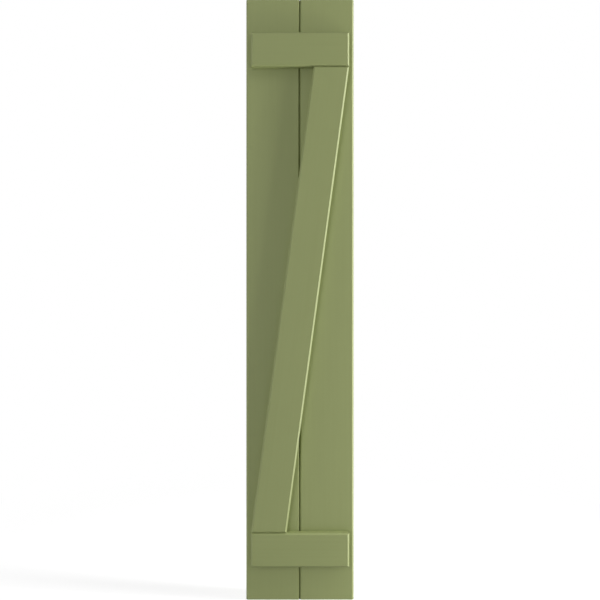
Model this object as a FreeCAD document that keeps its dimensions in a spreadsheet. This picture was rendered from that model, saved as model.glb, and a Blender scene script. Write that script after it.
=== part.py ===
"""Board and batten shutter: two tongue-and-groove boards, two battens and a diagonal brace.

Millimetres, with X across the shutter, +Y into the wall behind it and +Z up, so the front faces -Y.
The origin is in the middle of the back, on the line where the two boards meet.
"""
import FreeCAD
import Part
import Sketcher
import os

# Driving dimensions: alias, millimetres, what it measures
DIMENSIONS = (
    ("shutter_height", 1524.0, "length of both boards"),
    ("board_cover", 136.525, "from the meeting line to a board's outer edge"),
    ("board_thickness", 19.05, "from the wall side to the face"),
    ("board_chamfer", 4.0, "bevel along a board's outer front edge"),
    ("joint_chamfer", 3.2, "bevel along each side of the V joint between the boards"),
    ("joint_gap", 1.2, "open line at the bottom of the V, on the tongue's side"),
    ("tongue_thickness", 6.35, "tongue, centred in the board's thickness"),
    ("tongue_length", 6.35, "tongue, past the meeting line"),
    ("tongue_clearance", 0.25, "play round the tongue in its groove"),
    ("batten_width", 85.725, "up the shutter"),
    ("batten_thickness", 19.05, "from the boards' face to the batten's face"),
    ("batten_chamfer", 4.0, "bevel round the batten's face"),
    ("batten_side_inset", 12.7, "from the shutter's side to the batten's end"),
    ("batten_end_inset", 88.9, "from the shutter's end to the batten's outer edge"),
    ("brace_width", 88.9, "square across the brace"),
    ("brace_thickness", 19.05, "from the boards' face to the brace's face"),
    ("brace_chamfer", 4.0, "bevel round the brace's face"),
    ("brace_clearance", 0.3, "between each cut end and the batten that it meets"),
)


def fill_sheet(doc):
    """Writes the driving dimensions into a spreadsheet, one aliased cell to a row."""
    sheet = doc.addObject("Spreadsheet::Sheet", "Sizes")
    for row, (alias, millimetres, meaning) in enumerate(DIMENSIONS, start=1):
        sheet.set("A%d" % row, alias)
        sheet.set("B%d" % row, str(millimetres))
        sheet.set("C%d" % row, meaning)
        sheet.setAlias("B%d" % row, alias)
    doc.recompute()


def start_sketch(body, name, plane_role):
    """Adds a sketch on one of the body's own origin planes."""
    plane = next(item for item in body.Origin.OriginFeatures if item.Role == plane_role)
    sketch = body.newObject("Sketcher::SketchObject", name)
    sketch.AttachmentSupport = [(plane, "")]
    sketch.MapMode = "FlatFace"
    return sketch


def tie_corner(sketch, line, kind, axis, expression):
    """Holds the start of a line on a sketch axis, or at a distance that the sheet gives."""
    if expression == "0":
        sketch.addConstraint(Sketcher.Constraint("PointOnObject", line, 1, axis))
        return
    distance = sketch.evalExpression(expression)
    index = sketch.addConstraint(Sketcher.Constraint(kind, -1, 1, line, 1, distance))
    sketch.setExpression("Constraints[%d]" % index, expression)


def draw_closed_lines(sketch, corners):
    """Draws lines from corner to corner and joins them into one closed loop."""
    count = len(corners)
    for line in range(count):
        sketch.addGeometry(Part.LineSegment(corners[line], corners[(line + 1) % count]))
    for line in range(count):
        sketch.addConstraint(Sketcher.Constraint("Coincident", line, 2, (line + 1) % count, 1))


def draw_profile(sketch, corners):
    """Draws a closed profile whose corners are pairs of expressions on the sheet.

    A side between two corners with the same expression is held level or upright, and every other
    coordinate gets a dimension of its own.
    """
    draw_closed_lines(sketch, [FreeCAD.Vector(sketch.evalExpression(x), sketch.evalExpression(y))
                               for x, y in corners])
    for line, (x, y) in enumerate(corners):
        side = (line - 1) % len(corners)
        x_before, y_before = corners[line - 1]
        if x == x_before:
            sketch.addConstraint(Sketcher.Constraint("Vertical", side))
        else:
            tie_corner(sketch, line, "DistanceX", -2, x)
        if y == y_before:
            sketch.addConstraint(Sketcher.Constraint("Horizontal", side))
        else:
            tie_corner(sketch, line, "DistanceY", -1, y)


def add_pad(body, sketch, length, side="One side"):
    """Thickens a closed sketch by a length on the sheet."""
    pad = body.newObject("PartDesign::Pad", body.Label + "_pad")
    pad.Profile = sketch
    pad.SideType = side
    pad.setExpression("Length", length)
    sketch.Document.recompute()
    return pad


def bevel_face(body, pad, size):
    """Bevels every edge round the front face, the one that lies furthest towards -Y."""
    faces = pad.Shape.Faces
    front = min(range(len(faces)), key=lambda index: faces[index].CenterOfMass.y)
    chamfer = body.newObject("PartDesign::Chamfer", body.Label + "_bevel")
    chamfer.Base = (pad, ["Face%d" % (front + 1)])
    chamfer.setExpression("Size", size)


def make_board(doc, name, corners):
    """Makes a full-height board from its profile in plan."""
    body = doc.addObject("PartDesign::Body", name)
    profile = start_sketch(body, name + "_profile", "XY_Plane")
    draw_profile(profile, corners)
    add_pad(body, profile, "Sizes.shutter_height", "Symmetric")
    return body


def make_left_board(doc):
    """The board with the tongue, which stands out past the line where the two boards meet.

    The backs meet on that line, and in front the board stops short of it by the gap of the joint.
    """
    tongue_back = "(Sizes.tongue_thickness - Sizes.board_thickness) / 2"
    tongue_front = "-(Sizes.tongue_thickness + Sizes.board_thickness) / 2"
    return make_board(doc, "left_board", (
        ("-Sizes.board_cover", "0"),
        ("0", "0"),
        ("0", tongue_back),
        ("Sizes.tongue_length", tongue_back),
        ("Sizes.tongue_length", tongue_front),
        ("-Sizes.joint_gap", tongue_front),
        ("-Sizes.joint_gap", "Sizes.joint_chamfer - Sizes.board_thickness"),
        ("-Sizes.joint_gap - Sizes.joint_chamfer", "-Sizes.board_thickness"),
        ("Sizes.board_chamfer - Sizes.board_cover", "-Sizes.board_thickness"),
        ("-Sizes.board_cover", "Sizes.board_chamfer - Sizes.board_thickness"),
    ))


def make_right_board(doc):
    """The board with the groove, which is the tongue with its clearance all round."""
    groove_back = "(Sizes.tongue_thickness - Sizes.board_thickness) / 2 + Sizes.tongue_clearance"
    groove_front = "-(Sizes.tongue_thickness + Sizes.board_thickness) / 2 - Sizes.tongue_clearance"
    groove_bottom = "Sizes.tongue_length + Sizes.tongue_clearance"
    return make_board(doc, "right_board", (
        ("Sizes.board_cover", "0"),
        ("0", "0"),
        ("0", groove_back),
        (groove_bottom, groove_back),
        (groove_bottom, groove_front),
        ("0", groove_front),
        ("0", "Sizes.joint_chamfer - Sizes.board_thickness"),
        ("Sizes.joint_chamfer", "-Sizes.board_thickness"),
        ("Sizes.board_cover - Sizes.board_chamfer", "-Sizes.board_thickness"),
        ("Sizes.board_cover", "Sizes.board_chamfer - Sizes.board_thickness"),
    ))


def make_batten(doc, name, sign):
    """Makes a batten about its own middle and sets it near the shutter's upper or lower end."""
    body = doc.addObject("PartDesign::Body", name)
    outline = start_sketch(body, name + "_outline", "XZ_Plane")
    half_length = "Sizes.board_cover - Sizes.batten_side_inset"
    half_width = "Sizes.batten_width / 2"
    left = "-(%s)" % half_length
    bottom = "-(%s)" % half_width
    draw_profile(outline, ((left, bottom), (half_length, bottom), (half_length, half_width), (left, half_width)))
    pad = add_pad(body, outline, "Sizes.batten_thickness")
    bevel_face(body, pad, "Sizes.batten_chamfer")
    height = "%s(Sizes.shutter_height / 2 - Sizes.batten_end_inset - Sizes.batten_width / 2)" % sign
    body.setExpression("Placement.Base.y", "-Sizes.board_thickness")
    body.setExpression("Placement.Base.z", height)
    return body


def make_diagonal_brace(doc):
    """Makes the brace, cut level at both ends to fit between the battens.

    Its upper right corner lies under the top batten's right end, its lower left corner over the
    bottom batten's left end. The sketch solves the slope from those two corners and the width.
    """
    body = doc.addObject("PartDesign::Body", "diagonal_brace")
    outline = start_sketch(body, "diagonal_brace_outline", "XZ_Plane")
    corner_x = "Sizes.board_cover - Sizes.batten_side_inset"
    corner_z = ("Sizes.shutter_height / 2 - Sizes.batten_end_inset - Sizes.batten_width"
                " - Sizes.brace_clearance")
    head_right = FreeCAD.Vector(outline.evalExpression(corner_x), outline.evalExpression(corner_z))
    across = FreeCAD.Vector(outline.evalExpression("Sizes.brace_width"), 0)
    draw_closed_lines(outline, (head_right, across - head_right, -head_right, head_right - across))
    right_side, foot, left_side, head = range(4)
    outline.addConstraint([
        Sketcher.Constraint("Horizontal", head),
        Sketcher.Constraint("Horizontal", foot),
        Sketcher.Constraint("Parallel", right_side, left_side),
        Sketcher.Constraint("Symmetric", right_side, 1, left_side, 1, -1, 1),
    ])
    tie_corner(outline, right_side, "DistanceX", -2, corner_x)
    tie_corner(outline, right_side, "DistanceY", -1, corner_z)
    width = outline.addConstraint(Sketcher.Constraint("Distance", left_side, 1, right_side, across.x))
    outline.setExpression("Constraints[%d]" % width, "Sizes.brace_width")
    pad = add_pad(body, outline, "Sizes.brace_thickness")
    bevel_face(body, pad, "Sizes.brace_chamfer")
    body.setExpression("Placement.Base.y", "-Sizes.board_thickness")
    return body


def check_document(doc, bodies):
    """Stops the build if a feature failed, a sketch is loose or a body is not one sound solid."""
    for item in doc.Objects:
        if "Invalid" in item.State or "Error" in item.State:
            raise RuntimeError("failed feature: " + item.Label)
        if item.isDerivedFrom("Sketcher::SketchObject") and not item.FullyConstrained:
            raise RuntimeError("loose sketch: " + item.Label)
    for body in bodies:
        if body.Shape.isNull() or not body.Shape.isValid() or len(body.Shape.Solids) != 1:
            raise RuntimeError("unsound body: " + body.Label)


def main():
    """Builds the shutter and writes each piece to a file named after it."""
    doc = FreeCAD.newDocument("board_and_batten_shutter")
    fill_sheet(doc)
    bodies = [
        make_left_board(doc),
        make_right_board(doc),
        make_batten(doc, "top_batten", "+"),
        make_batten(doc, "bottom_batten", "-"),
        make_diagonal_brace(doc),
    ]
    doc.recompute()
    check_document(doc, bodies)
    os.makedirs("parts", exist_ok=True)
    for body in bodies:
        body.Shape.exportStep("parts/%s.step" % body.Label)


main()
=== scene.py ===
"""Looks of the board and batten shutter: satin paint on each piece, softened edges and back screws.

Metres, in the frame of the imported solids: X across, +Y into the wall, +Z up, front towards -Y.
"""
import math

import bpy
import numpy as np
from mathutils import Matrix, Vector


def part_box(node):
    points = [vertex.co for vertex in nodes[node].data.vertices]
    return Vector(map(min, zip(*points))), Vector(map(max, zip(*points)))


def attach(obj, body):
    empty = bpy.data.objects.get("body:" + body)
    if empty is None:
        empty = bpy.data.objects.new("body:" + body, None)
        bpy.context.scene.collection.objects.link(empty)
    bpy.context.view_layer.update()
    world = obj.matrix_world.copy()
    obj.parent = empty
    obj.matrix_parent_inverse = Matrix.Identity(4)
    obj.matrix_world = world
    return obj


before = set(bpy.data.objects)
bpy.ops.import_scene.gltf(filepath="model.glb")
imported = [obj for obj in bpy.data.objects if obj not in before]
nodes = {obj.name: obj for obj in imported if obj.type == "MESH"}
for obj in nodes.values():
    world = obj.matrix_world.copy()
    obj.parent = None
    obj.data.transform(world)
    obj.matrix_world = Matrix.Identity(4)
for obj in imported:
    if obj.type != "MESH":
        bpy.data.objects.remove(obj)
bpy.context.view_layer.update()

# Moss green where the coat lies thin and where it lies thick; the dark green is painted shade in the screw
# recesses and on the back hairline, and it mottles the heads
PAINT_THIN = (0.246, 0.280, 0.108, 1.0)
PAINT_THICK = (0.232, 0.264, 0.100, 1.0)
PAINT_SHADE_AND_MOTTLE = (0.120, 0.132, 0.050, 1.0)

# Satin finish: its roughness, and how much duller the cut ends, the back and the V joint are
PAINT_ROUGHNESS = 0.55
DULL_ENDS = 0.12
DULL_JOINT = 0.4

# Brush marks and clouds of thicker paint, to a metre on each axis of a piece, and fine ripples
MARKS_PER_METRE = (160.0, 160.0, 3.0)
CLOUDS_PER_METRE = (14.0, 14.0, 2.5)
RIPPLES_PER_METRE = 240.0

# How much they change the coat's thickness, its roughness and its relief, and how high the relief is
THICKNESS_BY_MARKS = 0.9
THICKNESS_BY_CLOUDS = 0.8
ROUGHNESS_BY_MARKS = 0.10
ROUGHNESS_BY_CLOUDS = 0.06
RELIEF_BY_MARKS = 0.7
RELIEF_BY_RIPPLES = 0.3
RELIEF_HEIGHT = 0.00006

# Skin that counts as a cut end or as the back, and the dark line of painted shade on the back where the
# boards meet
END_SKIN = 0.0003
HAIRLINE = 0.0006
HAIRLINE_SHADE = 0.7

# Edges as the paint rounds them: the width, its steps and the least angle of an edge that is rounded
SOFT_EDGE = 0.0002
SOFT_EDGE_STEPS = 3
SHARP_ANGLE = math.radians(20)
FLAT_FACE_WEIGHT = 100

# Points of a solid that are closer than this lie at the same place
SAME_PLACE = 0.00001

# Flat screw heads in the back: radius, rise, how much of the rise is lost at the rim, and the seat's depth
HEAD_RADIUS = 0.0042
HEAD_RISE = 0.00045
HEAD_FALL = 0.8
HEAD_SEAT = 0.0002

# Rings of points on a head, from one share of its radius to another and how many, and its spokes
INNER_RINGS = (0.12, 0.62, 11)
OUTER_RINGS = (0.7, 1.0, 7)
HEAD_SPOKES = 48

# Drive recess in a head: mean radius, its lobes and how far they reach, depth and width of its edge
DRIVE_RADIUS = 0.0018
DRIVE_LOBES = 6
DRIVE_LOBE = 0.0003
DRIVE_DEPTH = 0.00035
DRIVE_EDGE = 0.0004

# Paint on the heads: ripples to a metre, how much the ripples mottle it and how much shade is painted in the
# recess, roughness and height of the ripples
HEAD_RIPPLES_PER_METRE = 900.0
POOLED_BY_RIPPLES = 0.4
SHADE_PAINTED_IN_RECESS = 0.8
HEAD_ROUGHNESS = 0.36
HEAD_ROUGHNESS_BY_RIPPLES = 0.2
HEAD_ROUGHNESS_IN_RECESS = 0.15
HEAD_RELIEF = 0.00004

# Places of the screws: x and rise from the middle of each batten, and z along the brace
BATTEN_SCREWS = ((-0.1, 0.018), (-0.038, -0.018), (0.038, 0.018), (0.1, -0.018))
BRACE_SCREWS = (-0.52, -0.35, -0.18, 0.18, 0.35, 0.52)

# Floor: its shade, its own brightness near the shutter, where it goes over to plain white, and its half side
FLOOR_SHADE = (0.5, 0.5, 0.5, 1.0)
FLOOR_GLOW = 0.72
FLOOR_NEAR = 0.9
FLOOR_FAR = 1.6
FLOOR_HALF = 12.0

# White background, and how much of it lights the shutter from all round
WHITE = (1.0, 1.0, 1.0, 1.0)
WORLD_LIGHT = 0.045

# Camera: how far out from the boards' face and up it stands, and its lens and sensor in millimetres
CAMERA_OUT = 1.779
CAMERA_UP = -0.00085
CAMERA_LENS = 42.03
CAMERA_SENSOR = 36.0

# Boxes of the pieces that the looks are placed by
board_low, board_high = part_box("left_board")
batten_low, batten_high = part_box("top_batten")
brace_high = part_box("diagonal_brace")[1]
face_y = board_low.y


class Strand:
    """A number that runs through a node tree: Python arithmetic on it adds Math nodes."""

    def __init__(self, recipe, socket):
        self.recipe = recipe
        self.socket = socket

    def math(self, operation, first, second=0.0):
        return self.recipe.add("ShaderNodeMath", {"operation": operation}, {0: first, 1: second})

    def __add__(self, other):
        return self.math("ADD", self, other)

    def __radd__(self, other):
        return self.math("ADD", other, self)

    def __sub__(self, other):
        return self.math("SUBTRACT", self, other)

    def __rsub__(self, other):
        return self.math("SUBTRACT", other, self)

    def __mul__(self, other):
        return self.math("MULTIPLY", self, other)

    def __rmul__(self, other):
        return self.math("MULTIPLY", other, self)

    def __gt__(self, other):
        return self.math("GREATER_THAN", self, other)

    def __lt__(self, other):
        return self.math("LESS_THAN", self, other)

    def __abs__(self):
        return self.math("ABSOLUTE", self)

    def larger(self, other):
        return self.math("MAXIMUM", self, other)


class Recipe:
    """The nodes of one material or of the studio, all added through a single method."""

    def __init__(self, owner):
        owner.use_nodes = True
        self.tree = owner.node_tree

    def add(self, kind, settings, sockets, output=0):
        """Adds a node, makes its settings, fills or links its sockets, and gives one output."""
        node = self.tree.nodes.new(kind)
        for name, value in settings.items():
            setattr(node, name, value)
        for key, value in sockets.items():
            self.join(value, node.inputs[key])
        return Strand(self, node.outputs[output])

    def join(self, value, socket):
        """Links a strand to a socket, or sets the socket's own value."""
        if isinstance(value, Strand):
            self.tree.links.new(value.socket, socket)
        else:
            socket.default_value = value

    def place(self):
        """Where a point of the piece lies, in metres."""
        return self.add("ShaderNodeTexCoord", {}, {}, "Object")

    def turn(self, place, angle):
        """The place turned about Y, so that Z runs along a piece that lies at that angle."""
        return self.add("ShaderNodeMapping", {"vector_type": "POINT"},
                        {"Vector": place, "Rotation": (0.0, angle, 0.0)})

    def stretch(self, place, factors):
        """The place with each axis drawn out or pressed together for a pattern."""
        return self.add("ShaderNodeVectorMath", {"operation": "MULTIPLY"}, {0: place, 1: factors})

    def part(self, place, axis):
        """One coordinate of a place."""
        return self.add("ShaderNodeSeparateXYZ", {}, {"Vector": place}, axis)

    def noise(self, vector, scale, detail):
        """Smooth noise round 0.5."""
        return self.add("ShaderNodeTexNoise", {}, {"Vector": vector, "Scale": scale, "Detail": detail})

    def blend(self, share, first, second):
        """The first colour, going over to the second by a share."""
        return self.add("ShaderNodeMix", {"data_type": "RGBA"}, {0: share, 6: first, 7: second}, 2)

    def bump(self, height, distance):
        """A normal tilted by a height that is one distance high."""
        return self.add("ShaderNodeBump", {}, {"Height": height, "Distance": distance, "Strength": 1.0})

    def seen(self):
        """1 for what the camera sees, directly, mirrored or through glass, and 0 for other light."""
        camera = self.add("ShaderNodeLightPath", {}, {}, "Is Camera Ray")
        glossy = self.add("ShaderNodeLightPath", {}, {}, "Is Glossy Ray")
        through = self.add("ShaderNodeLightPath", {}, {}, "Is Transmission Ray")
        return camera.larger(glossy).larger(through)


def brushed_paint(name, angle, end_axis, half_length, joint=None):
    """Satin paint, brushed along a piece that lies at an angle to upright.

    Brush marks are noise drawn out along the piece, the paint's levelling is a fine ripple, and a
    broad cloud varies how thick the coat lies. The cut ends, which lie at plus and minus half the
    length on one axis, and the back are duller. So is a V joint between two places on X, and where
    the backs of the boards meet there, a dark hairline of painted shade is laid on the coat.
    """
    material = bpy.data.materials.new(name)
    recipe = Recipe(material)
    shader = recipe.tree.nodes["Principled BSDF"]
    place = recipe.place()
    turned = recipe.turn(place, angle)
    marks = recipe.noise(recipe.stretch(turned, MARKS_PER_METRE), scale=1.0, detail=3.0)
    cloud = recipe.noise(recipe.stretch(turned, CLOUDS_PER_METRE), scale=1.0, detail=2.0)
    ripple = recipe.noise(place, scale=RIPPLES_PER_METRE, detail=1.0)
    cut_end = abs(recipe.part(place, end_axis)) > half_length - END_SKIN
    back = recipe.part(place, "Y") > -END_SKIN
    dull = DULL_ENDS * cut_end.larger(back)
    thickness = 0.5 + THICKNESS_BY_MARKS * (marks - 0.5) + THICKNESS_BY_CLOUDS * (cloud - 0.5)
    coat = recipe.blend(thickness, PAINT_THIN, PAINT_THICK)
    if joint:
        across = recipe.part(place, "X")
        dull = dull.larger(DULL_JOINT * (across > joint[0]) * (across < joint[1]))
        # Painted shade: a dark hairline on the back where the boards meet
        coat = recipe.blend(HAIRLINE_SHADE * back * (abs(across) < HAIRLINE), coat, PAINT_SHADE_AND_MOTTLE)
    uneven = ROUGHNESS_BY_MARKS * (marks - 0.5) + ROUGHNESS_BY_CLOUDS * (cloud - 0.5)
    relief = RELIEF_BY_MARKS * marks + RELIEF_BY_RIPPLES * ripple
    recipe.join(coat, shader.inputs["Base Color"])
    recipe.join(PAINT_ROUGHNESS + uneven + dull, shader.inputs["Roughness"])
    recipe.join(recipe.bump(relief, RELIEF_HEIGHT), shader.inputs["Normal"])
    return material


def screw_paint(name):
    """The same paint over a screw head, mottled darker by fine ripples, with shade painted in the drive
    recess.
    """
    material = bpy.data.materials.new(name)
    recipe = Recipe(material)
    shader = recipe.tree.nodes["Principled BSDF"]
    recess = recipe.add("ShaderNodeAttribute", {"attribute_name": "recess"}, {}, "Fac")
    ripple = recipe.noise(recipe.place(), scale=HEAD_RIPPLES_PER_METRE, detail=1.0)
    # Darker mix: random mottling by the ripples, and painted shade in the drive recess
    shade_and_mottle = POOLED_BY_RIPPLES * ripple + SHADE_PAINTED_IN_RECESS * recess
    roughness = HEAD_ROUGHNESS + HEAD_ROUGHNESS_BY_RIPPLES * ripple + HEAD_ROUGHNESS_IN_RECESS * recess
    recipe.join(recipe.blend(shade_and_mottle, PAINT_THIN, PAINT_SHADE_AND_MOTTLE), shader.inputs["Base Color"])
    recipe.join(roughness, shader.inputs["Roughness"])
    recipe.join(recipe.bump(ripple, HEAD_RELIEF), shader.inputs["Normal"])
    return material


def across_where(node, axis, level):
    """The places on X of a solid's corners that lie at one level of another axis."""
    corners = np.array([corner.co for corner in nodes[node].data.vertices])
    return corners[np.abs(corners[:, axis] - level) < SAME_PLACE, 0]


def soften_edges(piece):
    """Rounds a solid's sharp edges as the paint does, and keeps its flat faces flat."""
    merge = piece.modifiers.new("merge", "WELD")
    merge.merge_threshold = SAME_PLACE
    rounding = piece.modifiers.new("rounding", "BEVEL")
    rounding.width = SOFT_EDGE
    rounding.segments = SOFT_EDGE_STEPS
    rounding.limit_method = "ANGLE"
    rounding.angle_limit = SHARP_ANGLE
    shading = piece.modifiers.new("shading", "WEIGHTED_NORMAL")
    shading.weight = FLAT_FACE_WEIGHT


def screw_head():
    """One flat screw head: its points, its faces of four and of three corners, and how sunk each point is.

    The head is a disc of rings and spokes. Its height falls off as the fourth power of the distance
    from its middle, and a drive recess with lobes is sunk by a smooth step at its edge. The last ring
    lies just under the board's back, where a point closes the head.
    """
    turn = np.linspace(0.0, 2.0 * math.pi, HEAD_SPOKES, endpoint=False)
    ring = np.concatenate([np.linspace(*INNER_RINGS), np.linspace(*OUTER_RINGS)]) * HEAD_RADIUS
    radius = np.broadcast_to(ring[:, None], (len(ring), HEAD_SPOKES))
    edge = DRIVE_RADIUS + DRIVE_LOBE * np.cos(DRIVE_LOBES * turn)
    share = np.clip((edge - radius) / DRIVE_EDGE + 0.5, 0.0, 1.0)
    sunk = share * share * (3.0 - 2.0 * share)
    height = HEAD_RISE * (1.0 - HEAD_FALL * (radius / HEAD_RADIUS) ** 4) - DRIVE_DEPTH * sunk
    rim = np.full(HEAD_SPOKES, -HEAD_SEAT)
    across = np.concatenate([[0.0], (radius * np.cos(turn)).ravel(), HEAD_RADIUS * np.cos(turn), [0.0]])
    upward = np.concatenate([[0.0], (radius * np.sin(turn)).ravel(), HEAD_RADIUS * np.sin(turn), [0.0]])
    out = np.concatenate([[HEAD_RISE - DRIVE_DEPTH], height.ravel(), rim, [-HEAD_SEAT]])
    points = np.stack([across, out, upward], 1)
    recess = np.concatenate([[1.0], sunk.ravel(), np.zeros(HEAD_SPOKES + 1)])

    spoke = np.arange(HEAD_SPOKES)
    following = (spoke + 1) % HEAD_SPOKES
    inner = 1 + HEAD_SPOKES * np.arange(len(ring))[:, None]
    outer = inner + HEAD_SPOKES
    quads = np.stack([inner + spoke, inner + following, outer + following, outer + spoke], -1).reshape(-1, 4)
    crown = np.stack([np.zeros(HEAD_SPOKES, int), 1 + following, 1 + spoke], 1)
    last = outer[-1]
    seat = np.stack([np.full(HEAD_SPOKES, len(points) - 1), last + spoke, last + following], 1)
    return points, quads, np.concatenate([crown, seat]), recess


def back_screws(name, places):
    """Flat screw heads, driven into the back: one head, repeated at places given by x and z."""
    head, quads, triangles, recess = screw_head()
    places = np.asarray(places)
    shift = np.stack([places[:, 0], np.zeros(len(places)), places[:, 1]], 1)
    points = (shift[:, None, :] + head).reshape(-1, 3)
    step = len(head) * np.arange(len(places))[:, None, None]
    faces = (quads + step).reshape(-1, 4).tolist() + (triangles + step).reshape(-1, 3).tolist()
    mesh = bpy.data.meshes.new(name)
    mesh.from_pydata(points.tolist(), [], faces)
    mesh.shade_smooth()
    sunk = mesh.attributes.new("recess", "FLOAT", "POINT")
    sunk.data.foreach_set("value", np.tile(recess, len(places)).astype(np.float32))
    piece = bpy.data.objects.new(name, mesh)
    bpy.context.scene.collection.objects.link(piece)
    return piece


def softbox(name, across, out, up, aim_up, width, height, watts, spread=180):
    """A plain rectangular lamp, so far out from the boards' face, that does not show itself.

    It faces the middle line of the boards' face at one height, and its beam spreads by an angle in
    degrees.
    """
    lamp = bpy.data.objects.new(name, bpy.data.lights.new(name, "AREA"))
    bpy.context.scene.collection.objects.link(lamp)
    lamp.data.shape = "RECTANGLE"
    lamp.data.size = width
    lamp.data.size_y = height
    lamp.data.energy = watts
    lamp.data.spread = math.radians(spread)
    place = Vector((across, face_y - out, up))
    lamp.location = place
    lamp.rotation_mode = "QUATERNION"
    lamp.rotation_quaternion = (place - Vector((0.0, face_y, aim_up))).to_track_quat("Z", "Y")
    lamp.visible_camera = False


def studio_floor(name, level):
    """A wide pale floor, a grid of points at one height, which goes over to plain white farther off."""
    side = np.linspace(-FLOOR_HALF, FLOOR_HALF, 3)
    x, y = np.meshgrid(side, side)
    points = np.stack([x.ravel(), y.ravel(), np.full(x.size, level)], 1)
    corner = (np.arange(2)[:, None] * 3 + np.arange(2)).ravel()
    faces = np.stack([corner, corner + 1, corner + 4, corner + 3], 1)
    mesh = bpy.data.meshes.new(name)
    mesh.from_pydata(points.tolist(), [], faces.tolist())
    floor = bpy.data.objects.new(name, mesh)
    bpy.context.scene.collection.objects.link(floor)
    material = bpy.data.materials.new(name)
    recipe = Recipe(material)
    reach = recipe.add("ShaderNodeVectorMath", {"operation": "LENGTH"}, {0: recipe.place()}, "Value")
    far = recipe.add("ShaderNodeMapRange", {"interpolation_type": "SMOOTHSTEP"},
                     {"Value": reach, "From Min": FLOOR_NEAR, "From Max": FLOOR_FAR})
    pale = recipe.add("ShaderNodeBsdfDiffuse", {}, {"Color": FLOOR_SHADE})
    glow = recipe.add("ShaderNodeEmission", {}, {"Strength": FLOOR_GLOW})
    near = recipe.add("ShaderNodeAddShader", {}, {0: pale, 1: glow})
    white = recipe.add("ShaderNodeEmission", {}, {"Strength": 1.0})
    shown = recipe.add("ShaderNodeMixShader", {}, {"Fac": far, 1: near, 2: white})
    surface = recipe.add("ShaderNodeMixShader", {}, {"Fac": recipe.seen(), 1: pale, 2: shown})
    recipe.join(surface, recipe.tree.nodes["Material Output"].inputs["Surface"])
    mesh.materials.append(material)


# Paint on the solids
brace_head = across_where("diagonal_brace", 2, brace_high.z)
lean = 0.5 * (brace_head.min() + brace_head.max()) / brace_high.z
joint = (across_where("left_board", 1, face_y).max(), across_where("right_board", 1, face_y).min())
board_paint = brushed_paint("board_paint", 0.0, "Z", board_high.z, joint)
batten_paint = brushed_paint("batten_paint", math.radians(90), "X", batten_high.x)
brace_paint = brushed_paint("brace_paint", -math.atan(lean), "Z", brace_high.z)
painted = {"left_board": board_paint, "right_board": board_paint, "top_batten": batten_paint,
           "bottom_batten": batten_paint, "diagonal_brace": brace_paint}
for node, paint in painted.items():
    nodes[node].data.materials.clear()
    nodes[node].data.materials.append(paint)
    soften_edges(nodes[node])

# Screws in the back
batten_middle = 0.5 * (batten_low.z + batten_high.z)
batten_rows = [(x, side * batten_middle + rise) for side in (-1, 1) for x, rise in BATTEN_SCREWS]
brace_row = [(lean * z, z) for z in BRACE_SCREWS]
screws = back_screws("back_screws", batten_rows + brace_row)
screws.data.materials.append(screw_paint("screw_paint"))
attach(screws, "root")

# Studio
studio_floor("studio_floor", board_low.z)
softbox("key_low", across=1.36, out=0.327, up=-0.5, aim_up=-0.5, width=0.22, height=0.5, watts=12.6)
softbox("key_foot", across=0.7, out=0.086, up=-0.64, aim_up=-0.64, width=0.07, height=0.22, watts=1.1)
softbox("key_middle", across=1.39, out=0.196, up=0.25, aim_up=0.25, width=0.12, height=1.0, watts=17.2)
softbox("key_high", across=1.37, out=0.284, up=1.0, aim_up=1.0, width=0.22, height=0.5, watts=14.3)
softbox("fill", across=-1.3, out=2.25, up=0.25, aim_up=0.0, width=1.0, height=2.4, watts=28.8)
softbox("fill_foot", across=-0.9, out=0.6, up=0.0, aim_up=-0.7, width=0.3, height=0.3, watts=0.033,
        spread=30)
softbox("left", across=-1.77, out=0.31, up=0.1, aim_up=0.0, width=0.5, height=2.4, watts=5.25)
softbox("top", across=0.0, out=1.0, up=2.4, aim_up=0.0, width=1.4, height=0.7, watts=7.5)
softbox("back", across=0.9, out=-9.0, up=1.2, aim_up=0.0, width=4.0, height=3.0, watts=560.0)

world = bpy.data.worlds.new("studio")
bpy.context.scene.world = world
studio = Recipe(world)
background = studio.tree.nodes["Background"]
studio.join(WORLD_LIGHT + (1.0 - WORLD_LIGHT) * studio.seen(), background.inputs["Strength"])
studio.join(WHITE, background.inputs["Color"])

camera = bpy.data.objects.new("camera", bpy.data.cameras.new("camera"))
bpy.context.scene.collection.objects.link(camera)
bpy.context.scene.camera = camera
camera.location = (0.0, face_y - CAMERA_OUT, CAMERA_UP)
camera.rotation_euler = (math.radians(90), 0.0, 0.0)
camera.data.sensor_width = CAMERA_SENSOR
camera.data.lens = CAMERA_LENS
bpy.context.scene.view_settings.view_transform = "Standard"
